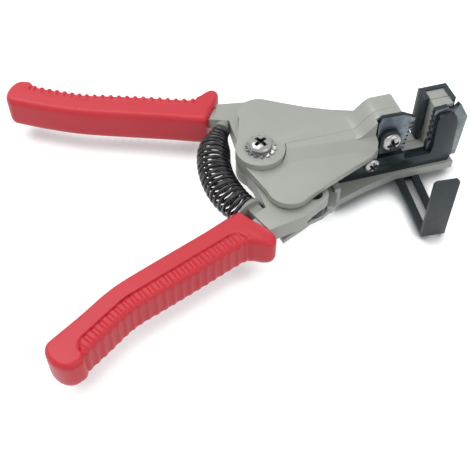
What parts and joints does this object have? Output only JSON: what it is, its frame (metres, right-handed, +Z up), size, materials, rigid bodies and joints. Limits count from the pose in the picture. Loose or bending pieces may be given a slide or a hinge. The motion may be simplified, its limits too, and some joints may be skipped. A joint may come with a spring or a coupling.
{
  "type": "automatic wire stripper",
  "caption": "Plier-type automatic wire stripper: two sprung red-gripped levers on one pivot close and then part a gripping jaw and a notched cutting jaw, with an adjustable wire stop.",
  "frame": {"origin": "middle of the tool's footprint, on the plane of its lowest point", "axes": "+X along the tool from the grips to the jaws, +Y towards the gripping jaw's side, +Z up, towards the pivot screw's head, along the pivot axis"},
  "size_m": [0.1715, 0.1392, 0.0354],
  "materials": {
    "grip": "moulded vinyl, soft gloss, ribbed on the outer side",
    "casting": "light grey enamel on die castings, satin",
    "steel": "ground steel",
    "black": "black oxide, satin",
    "nickel": "bright nickel plate",
    "spring": "black lacquer, glossy",
    "seat": "light grey enamel, as on the castings, dull"
  },
  "bodies": {
    "lower_handle": {"lower_grip": "grip", "lower_lever": "casting", "lower_eye_pin": "steel", "lower_roller": "steel", "pivot_screw": "nickel", "star_washer": "nickel", "pivot_nut": "nickel", "handle_spring": "spring", "lower_spring_seat": "seat"},
    "upper_handle": {"upper_grip": "grip", "upper_lever": "casting", "upper_eye_pin": "steel", "upper_roller": "steel", "upper_spring_seat": "seat"},
    "gripper_head": {"gripper_plate": "casting", "gripper_guide_pins": "steel", "rear_pad": "black", "rear_pad_screw": "nickel"},
    "cutter_head": {"cutter_plate": "casting", "cutter_guide_pins": "steel", "rear_blade": "steel", "rear_blade_clamp": "black", "rear_blade_screw": "nickel"},
    "gripper_carriage": {"gripper_frame": "casting", "front_pad": "black", "front_pad_screw": "nickel"},
    "cutter_carriage": {"cutter_frame": "casting", "front_blade": "steel", "front_blade_clamp": "black", "front_blade_screw": "nickel", "stop_clamp_plate": "black", "stop_clamp_screw": "nickel"},
    "stop": {"wire_stop": "black"}
  },
  "joints": [
    {"name": "squeeze", "type": "hinge", "parent": "lower_handle", "child": "upper_handle", "pos_m": [0.00354, 0, 0], "axis": [0, 0, 1], "range_deg": [0, 46], "stiffness_Nm_per_rad": 0.6, "springref_deg": -28.65, "deforming": ["handle_spring"]},
    {"name": "gripper_head_turn", "type": "hinge", "parent": "lower_handle", "child": "gripper_head", "pos_m": [0.00354, 0, 0], "axis": [0, 0, 1], "range_deg": [0, 28.5]},
    {"name": "cutter_head_turn", "type": "hinge", "parent": "lower_handle", "child": "cutter_head", "pos_m": [0.00354, 0, 0], "axis": [0, 0, 1], "range_deg": [0, 17.5]},
    {"name": "gripper_close", "type": "slide", "parent": "gripper_head", "child": "gripper_carriage", "axis": [1, 0, 0], "range_m": [-0.0074, 0]},
    {"name": "cutter_close", "type": "slide", "parent": "cutter_head", "child": "cutter_carriage", "axis": [1, 0, 0], "range_m": [-0.0074, 0]},
    {"name": "stop_slide", "type": "slide", "parent": "cutter_carriage", "child": "stop", "axis": [0.0872, 0.9962, 0], "range_m": [-0.006, 0.022]}
  ],
  "couplings": [
    {"joint": "gripper_head_turn", "follows": "squeeze", "ratio": 0.61957},
    {"joint": "cutter_head_turn", "follows": "squeeze", "ratio": 0.38043},
    {"joint": "gripper_close", "follows": "squeeze", "m_per_rad": -0.009217},
    {"joint": "cutter_close", "follows": "squeeze", "m_per_rad": -0.009217}
  ]
}
